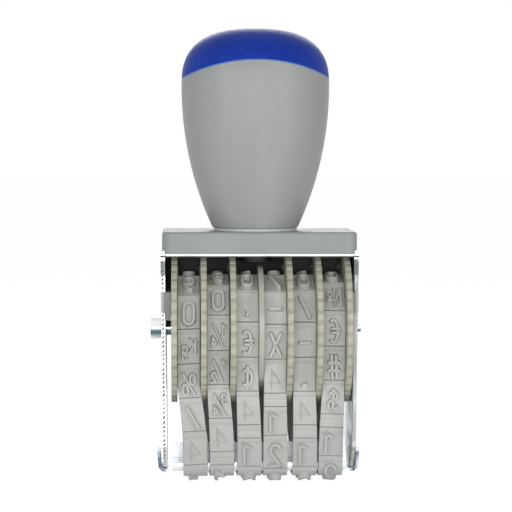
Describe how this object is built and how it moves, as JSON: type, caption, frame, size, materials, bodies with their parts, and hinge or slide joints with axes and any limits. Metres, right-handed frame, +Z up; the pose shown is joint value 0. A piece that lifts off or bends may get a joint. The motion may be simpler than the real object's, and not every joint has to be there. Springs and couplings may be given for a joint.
{
  "type": "band numbering stamp",
  "caption": "Hand numbering stamp: domed bulb handle on a bright U frame whose toothed wheels turn rubber number bands that run round a nose bar.",
  "frame": {"origin": "on the plane that the stamp prints on and stands on, under the middle of the steel frame", "axes": "+Z up through the handle, +X along the wheels' axle towards its plain end, -Y out of the side that the picture shows"},
  "size_m": [0.0433, 0.0304, 0.0927],
  "materials": {
    "handle_grey": "satin moulded plastic",
    "cap_blue": "gloss moulded plastic",
    "ring_light": "smooth light plastic",
    "cover_grey": "satin moulded plastic",
    "guide_grey": "fine matte moulded plastic",
    "bright_steel": "bright plated steel with sheared edges",
    "wheel_cream": "satin moulded plastic",
    "band_rubber": "smooth matte rubber",
    "screw_steel": "turned steel, blackened",
    "insert_brass": "turned brass"
  },
  "bodies": {
    "stamp": {"handle_body": "handle_grey", "handle_cap": "cap_blue", "handle_insert": "insert_brass", "handle_screw": "screw_steel", "spring_washer": "screw_steel", "seat_washer": "ring_light", "top_cover": "cover_grey", "frame": "bright_steel", "left_cheek": "guide_grey", "right_cheek": "guide_grey", "axle": "bright_steel", "nose_bar": "bright_steel", "centre_disc": "wheel_cream", "band_1": "band_rubber", "band_2": "band_rubber", "band_3": "band_rubber", "band_4": "band_rubber", "band_5": "band_rubber", "band_6": "band_rubber"},
    "number_wheel_1": {"wheel_1": "wheel_cream"},
    "number_wheel_2": {"wheel_2": "wheel_cream"},
    "number_wheel_3": {"wheel_3": "wheel_cream"},
    "number_wheel_4": {"wheel_4": "wheel_cream"},
    "number_wheel_5": {"wheel_5": "wheel_cream"},
    "number_wheel_6": {"wheel_6": "wheel_cream"}
  },
  "joints": [
    {"name": "wheel_1_turn", "type": "hinge", "parent": "stamp", "child": "number_wheel_1", "pos_m": [0, 0, 0.0312], "axis": [1, 0, 0], "continuous": true},
    {"name": "wheel_2_turn", "type": "hinge", "parent": "stamp", "child": "number_wheel_2", "pos_m": [0, 0, 0.0312], "axis": [1, 0, 0], "continuous": true},
    {"name": "wheel_3_turn", "type": "hinge", "parent": "stamp", "child": "number_wheel_3", "pos_m": [0, 0, 0.0312], "axis": [1, 0, 0], "continuous": true},
    {"name": "wheel_4_turn", "type": "hinge", "parent": "stamp", "child": "number_wheel_4", "pos_m": [0, 0, 0.0312], "axis": [1, 0, 0], "continuous": true},
    {"name": "wheel_5_turn", "type": "hinge", "parent": "stamp", "child": "number_wheel_5", "pos_m": [0, 0, 0.0312], "axis": [1, 0, 0], "continuous": true},
    {"name": "wheel_6_turn", "type": "hinge", "parent": "stamp", "child": "number_wheel_6", "pos_m": [0, 0, 0.0312], "axis": [1, 0, 0], "continuous": true}
  ]
}
